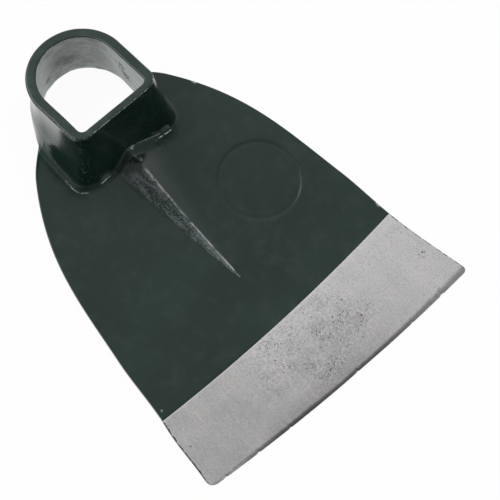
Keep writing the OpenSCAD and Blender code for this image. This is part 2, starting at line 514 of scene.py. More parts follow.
def plate_point(skin, x, y, from_side, from_joint=JOINT_MID_Y):
    z = plate_front(x, y, from_side, from_joint)
    return skin.point(x, y, z, rim=fade(from_side, PLATE_RIM), worn=knock(x, y))


def plate_spot(side, step, share, reach):
    """Place a share of the way from joint to eye, a step in from a side, or across the middle, side 0."""
    foot_x = eye_foot_x(plate_end)
    fine = SIDE_FINE[-1]
    x, y = 0.0, lerp(JOINT_MID_Y, plate_end, share)
    for _ in range(SETTLE_ROUNDS):
        half = half_width(y)
        inward = step
        if step > fine:
            inward = lerp(fine, half - foot_x, (step - fine) / (reach - fine))
        x = side * (half - inward) if side else lerp(-foot_x, foot_x, step)
        y = lerp(joint_line(x), plate_end, share)
    return x, y


def horn_rows(skin, side):
    """Points of the plate beside the eye, up to where the eye's wall takes all the room."""
    rows = []
    for k in range(1, HORN_COUNT + 1):
        y = lerp(plate_end, OUTLINE[-1][0], k / HORN_COUNT)
        half = half_width(y)
        room = half - eye_foot_x(y)
        if room < HORN_ROOM:
            break
        steps = spaced(room, SIDE_FINE, SIDE_COUNT)
        rows.append([plate_point(skin, side * (half - step), y, step) for step in steps])
    return rows


def plate_back(x, y, z):
    """The plate's back below a point of its front."""
    return x, y, round_drop(half_width(y) - abs(x), PLATE_ROUND)


def plate_skin():
    """The plate from the joint to the eye's foot, with a horn on each side of the eye."""
    skin = Skin()
    steps = spaced(half_width(plate_end) - eye_foot_x(plate_end), SIDE_FINE, SIDE_COUNT)
    across = [(-1, step) for step in steps]
    across += [(0, k / MID_COUNT) for k in range(1, MID_COUNT)]
    across += [(1, step) for step in reversed(steps)]
    length = plate_end - JOINT_MID_Y
    rows = []
    for along in spaced(length, JOINT_FINE, LENGTH_COUNT):
        row = []
        for side, step in across:
            x, y = plate_spot(side, step, along / length, steps[-1])
            row.append(plate_point(skin, x, y, half_width(y) - abs(x), y - joint_line(x)))
        rows.append(row)
    skin.quads(rows)
    count = len(steps)
    for side, start in ((-1, rows[-1][:count]), (1, rows[-1][:-count - 1:-1])):
        skin.quads([start] + horn_rows(skin, side))
    skin.thicken(plate_back)
    return skin


# Edge steel

STEEL_COLUMNS = 230
STEEL_FINE = (0, 0.12, 0.3, 0.55, 0.85, 1.2, 1.6, 2.1, 2.7, 3.4)
STEEL_ROWS = 56

# How much longer grinding lines are than wide, and how much of the bevel's painted shade is left at its ends
LINE_STRETCH = 6
BEVEL_END_SHADE = 0.5


def bevel_width(x):
    """The hand-ground bevel is uneven, narrower toward its left end and wider toward its right."""
    width = BEVEL_WIDTH * (1 + uneven(BEVEL_UNEVEN, x))
    for side, share in BEVEL_END.items():
        width *= lerp(share, 1.0, ease((EDGE_HALF - side * x) / BEVEL_END_REACH))
    return width


def steel_top(x, y, from_edge):
    """Height of the ground slope, or of the bevel where that is lower."""
    slope = (plate_t - GROUND_EDGE_T) / JOINT_MID_Y
    ground = min(plate_t, plate_t - (JOINT_MID_Y - y) * slope) - PAINT_LIP
    ground += uneven(GROUND_LINES, x, y / LINE_STRETCH) + uneven(GROUND_WAVES, x, y)
    bevel = EDGE_LAND + from_edge * (GROUND_EDGE_T - EDGE_LAND) / bevel_width(x)
    return lerp(ground, bevel, ease(0.5 + (ground - bevel) / (2 * BEVEL_BLEND)))


def round_corner(x, y, from_side, from_edge):
    """Pulls a point in to the rounded corner of the blade."""
    radius = CORNER_ROUND[-1 if x < 0 else 1]
    in_x = radius - from_side
    in_y = radius - from_edge
    out = math.hypot(in_x, in_y)
    if in_x <= 0 or in_y <= 0 or out <= radius:
        return x, y
    pull = 1 - radius / out
    return x - math.copysign(in_x * pull, x), y + in_y * pull


def steel_spot(across, step, depth):
    """Place of a grid point, from -1 to 1 across and a step from the edge; its room to side and edge."""
    side = -1 if across < 0 else 1
    x, y = across * EDGE_HALF, 0.0
    for _ in range(SETTLE_ROUNDS):
        start = edge_line(x)
        y = start + step
        if step > STEEL_FINE[-1]:
            share = (step - STEEL_FINE[-1]) / (depth - STEEL_FINE[-1])
            y = lerp(start + STEEL_FINE[-1], joint_line(x), share)
        x = across * side_reach(y, side)
    return x, y, side_reach(y, side) - abs(x), y - edge_line(x)


def steel_marks(x, y, from_side, from_edge):
    """Where the steel has a bevel in painted shade, a painted highlight below the joint, worn sides, painted
    shade, painted light and pits, each from 0 to 1.
    """
    from_middle = abs(x - SHADE_X)
    from_joint = joint_line(x) - y
    bevel_shade = lerp(BEVEL_END_SHADE, 1.0, fade(from_middle, SHADE_HALF, 0.4))
    shade_edge = fade(from_edge, SHADE_REACH, 0.1) * fade(from_middle, SHADE_HALF, 0.2)
    shade_left = SHADE_LEFT * rise(x, *SHADE_LEFT_X) * rise(y, *SHADE_LEFT_Y)
    light_top = rise(x, *LIGHT_TOP_X) * fade(from_joint, LIGHT_TOP_DOWN, 0.2)
    return {
        # the bevel is drawn dark as painted shade, lighter toward its ends
        "bevel": fade(from_edge, bevel_width(x), 0.3) * bevel_shade,
        # painted highlight: a bright line on the steel just below the paint's edge
        "joint": fade(from_joint, JOINT_HIGHLIGHT),
        "rim": fade(from_side, STEEL_RIM),
        # painted shade along the middle of the edge and toward the lower left
        "dull": max(shade_edge, shade_left),
        # painted light: the steel is drawn brighter toward the right and just below the joint
        "fresh": min(1.0, ease(x / LIGHT_REACH) + light_top),
        "pitted": near((x, y), PIT_FIELDS, 0.2),
        "hole": near((x, y), DEEP_PITS, 0.5),
    }


def steel_skin():
    skin = Skin()
    side = [s / EDGE_HALF for s in spaced(EDGE_HALF, SIDE_FINE, STEEL_COLUMNS // 2)]
    shares = [s - 1 for s in side] + [1 - s for s in reversed(side[:-1])]
    depth = JOINT_MID_Y + EDGE_BOW
    rows = []
    for step in spaced(depth, STEEL_FINE, STEEL_ROWS):
        row = []
        for across in shares:
            x, y, from_side, from_edge = steel_spot(across, step, depth)
            x, y = round_corner(x, y, from_side, from_edge)
            z = max(steel_top(x, y, from_edge) - round_drop(from_side, STEEL_ROUND), EDGE_LAND)
            row.append(skin.point(x, y, z, **steel_marks(x, y, from_side, from_edge)))
        rows.append(row)
    skin.quads(rows)
    skin.thicken(lambda x, y, z: (x, y, 0.0))
    return skin


# Eye

ARC_STEPS = 120
STRAIGHT_STEPS = 40
CORNER_STEPS = 22
WALL_STEPS = 54
RIM_INNER_STEPS = 8
RIM_BARE_STEPS = 5
RIM_LAND_STEPS = 8
RIM_OUTER_STEPS = 10

# Share of the height where the foot is smooth, and from which the rim is wavy
SMOOTH_FOOT = 1 / 6
WAVY_RIM = 0.9

# Chips at the rim, which also stand in for painted glints along its rounded outer edge: share of the wall
# where they begin and are full, and how far toward the back they go
CHIP_GLINTS = (0.88, 0.96)
CHIP_GLINTS_BACK = 0.6

# Left front corner as an outward direction and a radius, and how far below the rim it is mottled with painted
# highlights
LEFT_CORNER = (-0.8, -0.6, 0.5)
SHEEN_MOTTLE_DOWN = 5.0


def quarter_turns(turns):
    """Direction after some quarter turns."""
    angle = math.pi / 2 * turns
    return round(math.cos(angle), 15), round(math.sin(angle), 15)


def d_section(share):
    """D contour at a share of the wall from inside to outside: x, v and outward direction."""
    r = lerp(eye_r, eye_out_r, share)
    flat = lerp(EYE_FLAT, eye_out_flat, share)
    corner = lerp(EYE_CORNER, eye_out_corner, share)
    in_x = r - corner
    low = corner - flat
    left, right = (-in_x, low, corner, 2, 3, CORNER_STEPS), (in_x, low, corner, 3, 4, CORNER_STEPS)
    arcs = ((0, 0, r, 0, 2, ARC_STEPS), left, right)
    points = []
    for (mid_x, mid_v, radius, start, stop, steps), after in zip(arcs, arcs[1:] + arcs[:1]):
        for k in range(steps):
            out_x, out_v = quarter_turns(lerp(start, stop, k / steps))
            points.append((mid_x + radius * out_x, mid_v + radius * out_v, out_x, out_v))
        out_x, out_v = quarter_turns(stop)
        for k in range(STRAIGHT_STEPS):
            x = lerp(mid_x + radius * out_x, after[0] + after[2] * out_x, k / STRAIGHT_STEPS)
            v = lerp(mid_v + radius * out_v, after[1] + after[2] * out_v, k / STRAIGHT_STEPS)
            points.append((x, v, out_x, out_v))
    return points


def on_axis(x, v, s):
    """A point of the eye's own frame, with v across the flat wall and s along the axis."""
    return x, eye_y + v * lean_cos + s * lean_sin, s * lean_cos - v * lean_sin


def flare_share(out_v):
    """The round side and the side walls flare toward the back, and the flat wall doesn't."""
    return rise(out_v, *FLARE_TURN)


def flared(height, flare, waist=(0.0, 1.0)):
    """How far a wall stands out at a share of its height."""
    drop = 1 - height
    return flare[0] * drop ** flare[1] - waist[0] * math.sin(math.pi * min(1.0, drop / waist[1]))


def outer_shift(height, x, out_x, out_v):
    """How far the eye's outside moves, across and along: flared at left and back, leaning at right."""
    left = flared(height, LEFT_FLARE, LEFT_WAIST)
    back = flared(height, BACK_FLARE, BACK_WAIST)
    out = lerp(left, back, rise(out_v, *BACK_TURN)) * flare_share(out_v)
    out *= 1 - rise(out_x, *RIGHT_TURN)
    lean = flared(height, RIGHT_FLARE) * ease(x / eye_out_r)
    return out_x * out + lean, out_v * out + min(out_v, 0.0) * FRONT_FLARE * lean


def wall_spot(x, v, out_x, out_v, z):
    """A point of the eye's outside at height z."""
    s = (z + v * lean_sin) / lean_cos
    height = (s - v * lean_tan) / (EYE_LENGTH - v * lean_tan)
    shift_x, shift_v = outer_shift(height, x, out_x, out_v)
    spot = on_axis(x, v, s)
    return Vector((spot[0] + shift_x, spot[1] + shift_v, spot[2]))


def bore_flare(height, spot, out_x, out_v):
    """How far the bore has widened toward its mouth, whose lip is ragged."""
    lip = (MOUTH_LIP + uneven(MOUTH_UNEVEN, *spot)) * math.exp(-max(spot[2], 0.0) / MOUTH_DEPTH)
    tight = 1 - BORE_TIGHT * ease(out_x * TIGHT_SIDE[0] + out_v * TIGHT_SIDE[1])
    return (BORE_FLARE * (1 - height) + lip) * flare_share(out_v) * tight


def eye_profile():
    """Section from the bore's foot over the rim to the outside: share of wall, height, drop, bareness."""
    rows = [(0.0, k / WALL_STEPS, RIM_INNER_ROUND, 1.0) for k in range(WALL_STEPS)]
    for k in range(RIM_INNER_STEPS + 1):
        turn = math.pi / 2 * k / RIM_INNER_STEPS
        share = RIM_INNER_ROUND * (1 - math.cos(turn)) / EYE_WALL
        rows.append((share, 1.0, RIM_INNER_ROUND * (1 - math.sin(turn)), 1 - ease(k / RIM_BARE_STEPS)))
    inner = RIM_INNER_ROUND / EYE_WALL
    outer = 1 - RIM_OUTER_ROUND / EYE_WALL
    rows += [(lerp(inner, outer, k / RIM_LAND_STEPS), 1.0, 0.0, 0.0) for k in range(1, RIM_LAND_STEPS)]
    for k in range(RIM_OUTER_STEPS + 1):
        turn = math.pi / 2 * k / RIM_OUTER_STEPS
        share = 1 - RIM_OUTER_ROUND * (1 - math.sin(turn)) / EYE_WALL
        rows.append((share, 1.0, RIM_OUTER_ROUND * (1 - math.cos(turn)), 0.0))
    rows += [(1.0, 1 - k / WALL_STEPS, RIM_OUTER_ROUND, 0.0) for k in range(1, WALL_STEPS + 1)]
    return rows


def left_corner(out_x, out_v):
    """1 on the eye's left front corner, fading to 0 on the walls beside it."""
    return near((out_x, out_v), (LEFT_CORNER,), 0.2)


def eye_skin():
    skin = Skin()
    rows = []
    for share, height, down, bare in eye_profile():
        row = []
        for x, v, out_x, out_v in d_section(share):
            s = lerp(v * lean_tan, EYE_LENGTH - down, height)
            spot = on_axis(x, v, s)
            out = uneven(EYE_UNEVEN, *spot) * ease(height / SMOOTH_FOOT)
            if share == 0.0:
                out += bore_flare(height, spot, out_x, out_v)
                shift_x, shift_v = 0.0, 0.0
            else:
                shift_x, shift_v = outer_shift(height, x, out_x, out_v)
            if share == 1.0:
                out += left_corner(out_x, out_v) * uneven(CORNER_UNEVEN, *spot)
                out += RUN_HEIGHT * near((spot[0] + shift_x, spot[1] + shift_v, spot[2]), (PAINT_RUN,))
            wave = uneven(RIM_UNEVEN, *spot) * rise(height, WAVY_RIM)
            high = max(spot[2] + wave, BACK_LIFT)
            spot = (spot[0] + shift_x + out_x * out, spot[1] + shift_v + out_v * out, high)
            row.append(skin.point(*spot, bare=bare, **eye_marks(share, EYE_LENGTH - s, out_x, out_v, spot)))
        rows.append(row)
    skin.quads(rows + rows[:1], closed=True)
    return skin


def eye_marks(share, from_rim, out_x, out_v, spot):
    """Worn rim with chips that also stand in for painted glints, and a corner mottled with painted
    highlights; in the bore, painted shade on one side, with stains and gouges.
    """
    if share == 0.0:
        toward = out_x * BORE_SHADE_SIDE[0] + out_v * BORE_SHADE_SIDE[1]
        return {
            # painted shade on the bore's back side, which faces away from the light
            "duller": rise(toward, *BORE_SHADE_TURN),
            "stain": near(spot, BORE_STAINS),
            "gouge": near(spot, BORE_GOUGES),
        }
    at_edge = rise(share, *CHIP_GLINTS)
    return {
        # painted highlights mottling the eye's left front corner
        "mottle": left_corner(out_x, out_v) * ease(from_rim / SHEEN_MOTTLE_DOWN),
        "rim": fade(from_rim, EYE_RIM),
        # chips along the rim's outer edge, also painted glints of that rounded edge
        "chip": at_edge * fade(from_rim, EYE_CHIP_GLINTS) * ease(CHIP_GLINTS_BACK - out_v),
    }


# Rib

RIB_STEPS = 130
FACET_STEPS = 18
CREST_STEPS = 4

# Share of the length over which unevenness grows, what is left of it at the left slope's edges, its direction
TIP_SMOOTH = 1 / 5
SLOPE_EDGES = 0.2
SLOPE_OUT = 0.7

# Rise of the hammered crest, and the share of each slope beside it that is worn bare, which stands in for a
# painted highlight along the crest
CREST_ROUND = 0.25
CREST_HIGHLIGHT_SHARE = {-1: 0.05, 1: 0.04}

RibSection = namedtuple("RibSection", "high toes land toe_y crest_y")


def rib_section(u):
    """Height, toes by side, half crest, and places of toes and crest, at a share of the rib's length."""
    sink = RIB_HEAD_SINK * rise(u, RIB_HEAD_FROM)
    high = RIB_TIP + (RIB_HEIGHT - RIB_TIP) * u * u * (1 - sink)
    left = RIB_CREST_X - RIB_TIP - RIB_LEFT * u * (1 + RIB_LEFT_FULL * (1 - u))
    right = RIB_CREST_X + RIB_TIP + (RIB_RIGHT - RIB_WELD) * u ** RIB_RIGHT_POWER
    land = min(RIB_CREST_W / 2, RIB_TIP / 2 + u * RIB_CREST_W)
    toe_y = rib_tip_y + u * RIB_LENGTH
    crest_y = rib_tip_y + u * (flat_wall_y(plate_t + high) - rib_tip_y)
    return RibSection(high, {-1: left, 1: right}, land, toe_y, crest_y)


def slope_height(side, q):
    """Share of the crest's height between crest and toe: straight on the left, hollow on the right."""
    return 1 - q if side < 0 else (1 - q) ** RIB_HOLLOW


def rib_bare(u, end):
    """1 where the rib is bare at a share of its length, fading to 0 at the end of the bare part."""
    return ease((end - u) / RIB_BARE_FADE)


def rib_row(skin, u):
    """Points of one section: the coarse left slope, the hammered crest and the smooth right slope."""
    high, toes, land, toe_y, crest_y = rib_section(u)
    grown = ease(u / TIP_SMOOTH)
    bared = rib_bare(u, RIB_BARE_CREST)
    row = [skin.point(toes[-1], toe_y, plate_t - EMBED)]
    for k in range(FACET_STEPS + 1):
        q = k / FACET_STEPS
        x = lerp(toes[-1], RIB_CREST_X - land, q)
        y = lerp(toe_y, crest_y, q)
        z = plate_t + high * q
        out = uneven(RIB_UNEVEN, x, y, z) * grown * ease(4 * q * (1 - q) + SLOPE_EDGES) * SLOPE_OUT
        cast = rib_bare(u, lerp(RIB_BARE_TOE, RIB_BARE_CREST, q)) * lerp(TOE_CAST, 1.0, q)
        # the bare crest is also a painted highlight along it
        crest = bared * fade(1 - q, CREST_HIGHLIGHT_SHARE[-1])
        row.append(skin.point(x - out, y, z + out, rough_cast=cast, crest=crest))
    for k in range(1, CREST_STEPS + 1):
        q = k / CREST_STEPS
        x = lerp(RIB_CREST_X - land, RIB_CREST_X + land, q)
        hammered = CREST_ROUND * math.sin(math.pi * q) + uneven(CREST_UNEVEN, x, crest_y)
        z = plate_t + high + grown * hammered
        row.append(skin.point(x, crest_y, z, rough_cast=bared * (1 - q), crest=bared))
    for k in range(1, FACET_STEPS + 1):
        q = k / FACET_STEPS
        x = lerp(RIB_CREST_X + land, toes[1], q)
        y = lerp(crest_y, toe_y, q)
        z = plate_t + high * slope_height(1, q) + grown * uneven(SLOPE_UNEVEN, x, y)
        # the worn mark here is a painted glint on the rib's head
        worn = near((x, y, z), HEAD_GLINTS)
        row.append(skin.point(x, y, z, rough_cast=0.0, crest=bared * fade(q, CREST_HIGHLIGHT_SHARE[1]), worn=worn))
    row.append(skin.point(toes[1], toe_y, plate_t - EMBED))
    return row


def rib_skin():
    skin = Skin()
    reach = 1 + EMBED / RIB_LENGTH
    skin.bar([rib_row(skin, step / RIB_STEPS * reach) for step in range(RIB_STEPS + 1)])
    return skin


# Welds

BEAD_STEPS = 18
TOE_STEPS = 2
WELD_STATIONS = 210
RIB_WELD_STATIONS = 120
HEAD_EASE = 0.2
TOE_EASE = 1.6
TOE_SINK = 0.06
TOP_SINK = 0.2

# How coarse a bead on the coarse rib is at its top, and how fast that drops toward its toe
TOP_CAST = 0.9
CAST_DROP = 1.1

# Longest run of the eye's weld, the least room for it on the horn, and its share of that room
WELD_RUN = 2.9 * eye_out_flat
WELD_ROOM = 0.8
WELD_ROOM_SHARE = 0.9
FLANK_FROM = 0.7

# How much lumpier the eye's weld is over the rib's head, and how far out
HEAD_LUMPS = 2.2
HEAD_LUMPS_REACH = 6.0

# Leg of the rib's welds at the tip, as a share of the full leg, and how fast it grows
TIP_LEG = 0.15
LEG_GROWTH = 1.2


def bead(base, top, toe, lump):
    """Section of a hollow fillet weld from its top to its toe, and its hidden root."""
    lift = (top - base).normalized()
    out = (toe - base).normalized()
    hold = lerp(base, (top + toe) / 2, WELD_FILL)
    section = []
    for k in range(BEAD_STEPS + 1):
        q = k / BEAD_STEPS
        spot = top * (1 - q) ** 2 + hold * 2 * q * (1 - q) + toe * q * q
        section.append(spot + (lift + out) * lump(spot) * math.sin(math.pi * q))
    root = base - (out + lift) * EMBED
    return section + [toe - lift * EMBED, root, top - out * EMBED]


def bead_skin(sections, coarse=()):
    """Closed bead through its sections, with bare glints and the coarse look of what it climbs."""
    skin = Skin()
    rows = []
    for section, share in zip_longest(sections, coarse, fillvalue=0.0):
        row = []
        for k, spot in enumerate(section):
            toe = fade(abs(k - BEAD_STEPS + 1), TOE_STEPS)
            # the worn mark here holds painted glints at the toe and over the rib's head
            worn = max(toe * near(spot, TOE_GLINTS), near(spot, HEAD_GLINTS))
            cast = share * ease(TOP_CAST - CAST_DROP * k / BEAD_STEPS)
            row.append(skin.point(*spot, worn=worn, rough_cast=cast))
        rows.append(row)
    skin.bar(rows)
    return skin


def eye_weld_lump(spot):
    """Unevenness of the eye's weld, which is lumpiest over the rib's head."""
    from_crest = ease(abs(spot.x - RIB_CREST_X) / HEAD_LUMPS_REACH)
    return uneven(EYE_WELD_UNEVEN, *spot) * lerp(HEAD_LUMPS, 1.0, from_crest)


def crest_share(side, x, section):
    """Share of the way from the rib's crest to its toe."""
    return max((x - RIB_CREST_X) / (section.toes[side] - RIB_CREST_X), 0.0)


def rib_top(side, x, y):
    """Height of the rib's slope at a place beside its crest, or of the plate beyond its toe."""
    head = rib_section(1)
    q = min(crest_share(side, x, head), 1.0)
    section = rib_section((y - rib_tip_y) / (lerp(head.crest_y, head.toe_y, q) - rib_tip_y))
    q = min(crest_share(side, x, section), 1.0)
    return max(plate_t + section.high * slope_height(side, q), plate_front(x, y, half_width(y) - abs(x)))


def wall_ground(side, x):
    """Height of rib or plate where the flat wall stands on it, with the rib's crest and left toe eased."""
    head = rib_section(1)
    q = math.hypot(crest_share(side, x, head), HEAD_EASE) - HEAD_EASE
    if side > 0:
        return plate_t + head.high * slope_height(side, min(q, 1.0))
    high = head.high * (1 - q)
    return plate_t + (high + math.hypot(high, TOE_EASE)) / 2


def weld_legs(side, from_crest, out_x):
    """Reach and climb of the eye's weld, from the rib's head past the eye's front to its flank."""
    legs = zip(WELD_HEAD, WELD_FRONT[side], WELD_FLANK[side])
    return [lerp(lerp(head, front, ease(from_crest)), flank, ease(out_x)) for head, front, flank in legs]


def foot_spot(run, start):
    """Place and outward direction on the eye's outside, at a run from the rib's crest round to the back."""
    r, flat, corner = eye_out_r, eye_out_flat, eye_out_corner
    in_x = r - corner
    straight = flat - corner
    run -= in_x - start
    if run < 0:
        return in_x + run, -flat, 0.0, -1.0
    if run < corner * math.pi / 2:
        out_x, out_v = math.sin(run / corner), -math.cos(run / corner)
        return in_x + corner * out_x, corner * out_v - straight, out_x, out_v
    run -= corner * math.pi / 2 + straight
    if run < 0:
        return r, run, 1.0, 0.0
    out_x, out_v = math.cos(run / r), math.sin(run / r)
    return r * out_x, r * out_v, out_x, out_v


def eye_weld_skin(side):
    """The weld round the eye's foot, from the rib's crest to where the plate's horn runs out."""
    head = rib_section(1)
    sections = []
    for k in range(WELD_STATIONS):
        x, v, out_x, out_v = foot_spot(WELD_RUN * k / WELD_STATIONS, side * RIB_CREST_X)
        here = (side * x, v, side * out_x, out_v)
        foot_x = wall_spot(*here, plate_t).x
        ground = wall_ground(side, foot_x)
        base = wall_spot(*here, ground)
        reach, up = weld_legs(side, crest_share(side, foot_x, head), out_x)
        if out_x > FLANK_FROM:
            room = half_width(base.y) - abs(base.x)
            if room < WELD_ROOM:
                break
            taper = min(1.0, WELD_ROOM_SHARE * room / reach)
            reach *= taper
            up *= taper * taper
        out = Vector((side * out_x, out_v, 0))
        top = wall_spot(*here, ground + up) - out * TOP_SINK
        toe = base + out * reach
        toe.z = rib_top(side, toe.x, toe.y) - TOE_SINK
        sections.append(bead(base, top, toe, eye_weld_lump))
    return bead_skin(sections)


def rib_weld_skin(side):
    """The weld along one toe of the rib, coarse like the rib on the left and smooth on the right."""
    sections = []
    share = RIB_WELD_TOP[side]
    layers = RIB_WELD_UNEVEN[side]
    for step in range(1, RIB_WELD_STATIONS + 1):
        u = step / RIB_WELD_STATIONS
        high, toes, land, toe_y, crest_y = rib_section(u)
        foot = toes[side]
        base = Vector((foot, toe_y, plate_t))
        climb = Vector((
            lerp(RIB_CREST_X + side * land, foot, share) - foot,
            lerp(crest_y, toe_y, share) - toe_y,
            high * slope_height(side, share),
        ))
        leg = RIB_WELD * min(1.0, TIP_LEG + LEG_GROWTH * u) * RIB_WELD_REACH[side]
        toe = base + Vector((side * leg, 0, 0))
        toe.z = plate_front(toe.x, toe.y, half_width(toe.y) - abs(toe.x)) - TOE_SINK
        sections.append(bead(base, base + climb, toe, lambda spot: uneven(layers, *spot)))
    if side > 0:
        return bead_skin(sections)
    stations = range(RIB_WELD_STATIONS)
    return bead_skin(sections, [TOE_CAST * rib_bare(k / RIB_WELD_STATIONS, RIB_BARE_TOE) for k in stations])


# Finishes


def feed(tree, socket, value):
    """Sets a socket to a plain value, or links it to another node."""
    if isinstance(value, bpy.types.NodeSocket):
        tree.links.new(value, socket)
    else:
        socket.default_value = value


def add_node(tree, kind, inputs, **settings):
    """New shader node with its settings and inputs."""
    node = tree.nodes.new("ShaderNode" + kind)
    for key, value in settings.items():
        setattr(node, key, value)
    for key, value in inputs.items():
        feed(tree, node.inputs[key], value)
    return node


def map_range(tree, kind, value, low, high, to_low, to_high):
    """Maps a range of values to another range."""
    inputs = {"Value": value, "From Min": low, "From Max": high, "To Min": to_low, "To Max": to_high}
    return add_node(tree, "MapRange", inputs, interpolation_type=kind).outputs["Result"]


class Finish:
    """A procedural material, with sizes in millimetres on the piece itself."""

    def __init__(self, name):
        self.material = bpy.data.materials.new(name)
        self.material.use_nodes = True
        self.tree = self.material.node_tree
        self.shader = self.tree.nodes["Principled BSDF"]
        self.place = self.node("TexCoord", {}).outputs["Object"]

    def node(self, kind, inputs, **settings):
        return add_node(self.tree, kind, inputs, **settings)

    def grain(self, size, detail=2.0, seed=0.0, stretch=(1, 1, 1)):
        """Noise of a given grain size, stretched along the axes."""
        scale = [1 / (MM * size * s) for s in stretch]
        place = self.node("Mapping", {"Vector": self.place, "Scale": scale}).outputs["Vector"]
        inputs = {"Vector": place, "W": seed, "Scale": 1.0, "Detail": detail}
        return self.node("TexNoise", inputs, noise_dimensions="4D").outputs["Fac"]

    def mark(self, name):
        return self.node("Attribute", {}, attribute_name=name).outputs["Fac"]

    def add(self, a, b):
        return self.node("Math", {0: a, 1: b}, operation="ADD").outputs[0]

    def times(self, a, b):
        return self.node("Math", {0: a, 1: b}, operation="MULTIPLY").outputs[0]

    def where(self, name, value):
        """A value where the mesh is marked."""
        return self.times(self.mark(name), value)

    def most(self, first, *others):
        """The greatest of some values."""
        for other in others:
            first = self.node("Math", {0: first, 1: other}, operation="MAXIMUM").outputs[0]
        return first

    def span(self, value, low, high, to_low=0.0, to_high=1.0):
        """Maps a range of values to another with soft ends."""
        return map_range(self.tree, "SMOOTHSTEP", value, low, high, to_low, to_high)

    def blend(self, share, a, b):
        """Number between a and b."""
        return self.node("Mix", {0: share, 2: a, 3: b}).outputs[0]

    def cover(self, colour, *layers):
        """A colour under layers, each a share and a colour."""
        for share, over in layers:
            colour = self.node("Mix", {0: share, 6: colour, 7: over}, data_type="RGBA").outputs[2]
        return colour

    def bump(self, *layers):
        """Normal over layers, each a height and its depth."""
        under = {}
        for height, depth in layers:
            inputs = {"Distance": depth * MM, "Height": height, **under}
            under = {"Normal": self.node("Bump", inputs).outputs["Normal"]}
        return under["Normal"]

    def done(self, colour, roughness, normal, metallic=0.0):
        inputs = {"Base Color": colour, "Roughness": roughness, "Normal": normal, "Metallic": metallic}
        for key, value in inputs.items():
            feed(self.tree, self.shader.inputs[key], value)
        return self.material


# Colours of the paint and its dust and painted sheen, of bare places and painted glints, and of the bore with
# its stains and painted shade
GREEN_DEEP = (0.0024, 0.0122, 0.0084, 1)
GREEN_LIGHT = (0.0056, 0.0205, 0.0148, 1)
PAINT_GLINT = (0.86, 1.0, 0.95, 1)
DUST_AND_SHEEN = (0.112, 0.132, 0.135, 1)
BARE_STEEL_AND_GLINTS = (0.50, 0.50, 0.50, 1)
BORE_STEEL = (0.56, 0.56, 0.565, 1)
BORE_STAIN_AND_SHADE = (0.10, 0.10, 0.105, 1)
BORE_BLACK = (0.012, 0.012, 0.012, 1)


def bore_metal(finish):
    """Bare inside of the eye: scraped round the bore, with painted shade on its back side, stains and gouges.
    """
    scrape = finish.span(finish.grain(1.1, 3, 8, (7, 7, 1)), 0.30, 0.70, 0.45, 0.0)
    cloudy = finish.span(finish.grain(6, 3, 9), 0.3, 0.7, 0.35, 0.65)
    patch = finish.span(finish.grain(3.5, 3, 23), 0.30, 0.60, 0.3, 0.9)
    torn = finish.span(finish.grain(2.2, 3, 24, (1, 1, 1.8)), 0.45, 0.53)
    return finish.cover(
        BORE_STEEL,
        (scrape, BORE_STAIN_AND_SHADE),
        # painted shade, cloudy, on the bore's back side
        (finish.where("duller", cloudy), BORE_STAIN_AND_SHADE),
        (finish.where("stain", patch), BORE_STAIN_AND_SHADE),
        (finish.where("gouge", torn), BORE_BLACK),
    )


def paint_dust_and_sheen(finish, coarse):
    """How pale the paint looks: dust specks, smears and scratches, painted highlights mottling the eye's
    corner, and most where coarse.
    """
    streaks = finish.span(finish.grain(3.0, 3, 22, (1, 4, 1)), 0.3, 0.7, -0.12, 0.12)
    sparkle = finish.add(finish.grain(0.7, 3, 10, (1, 2, 1)), streaks)
    cast = finish.times(coarse, finish.span(sparkle, 0.38, 0.66, 0.06, 1.2))
    specks = finish.span(finish.grain(1.4, 2, 2), 0.60, 0.85, 0.0, 0.05)
    smear = finish.span(finish.grain(8, 5, 26), 0.45, 0.75, 0.0, 0.08)
    scratch = finish.span(finish.grain(0.45, 2, 27, (16, 1, 1)), 0.66, 0.76, 0.0, 0.12)
    mottle = finish.span(finish.grain(2.6, 3, 29), 0.52, 0.66, 0.0, 0.30)
    dusty = finish.add(finish.add(specks, cast), finish.most(smear, scratch))
    # the mottle on the eye's corner is painted highlights
    return finish.add(dusty, finish.where("mottle", mottle))


def paint_wear(finish):
    """Where the paint is off: ragged rims and knocks, and bare marks that also stand in for painted
    highlights: the rib's crest, glints on welds and rib, and chips on the eye's rim.
    """
    ragged = finish.where("rim", finish.span(finish.grain(2.2, 4, 5), 0.69, 0.77))
    crest_wear_and_sheen = finish.span(finish.grain(1.4, 3, 6, (1, 4, 1)), 0.38, 0.58, 0.0, 0.85)
    # bare crest, also a painted highlight
    crest = finish.where("crest", crest_wear_and_sheen)
    # flaked paint on the plate, and painted glints on welds and rib
    flaked_and_glints = finish.where("worn", finish.span(finish.grain(0.8, 3, 18), 0.42, 0.56))
    flecks = finish.span(finish.grain(1.3, 4, 19), 0.46, 0.60)
    groups = finish.span(finish.grain(6, 2, 20), 0.38, 0.56, 0.0, 0.8)
    # chips on the eye's rim, also painted glints
    chip = finish.where("chip", finish.times(flecks, groups))
    return finish.most(ragged, crest, flaked_and_glints, chip)


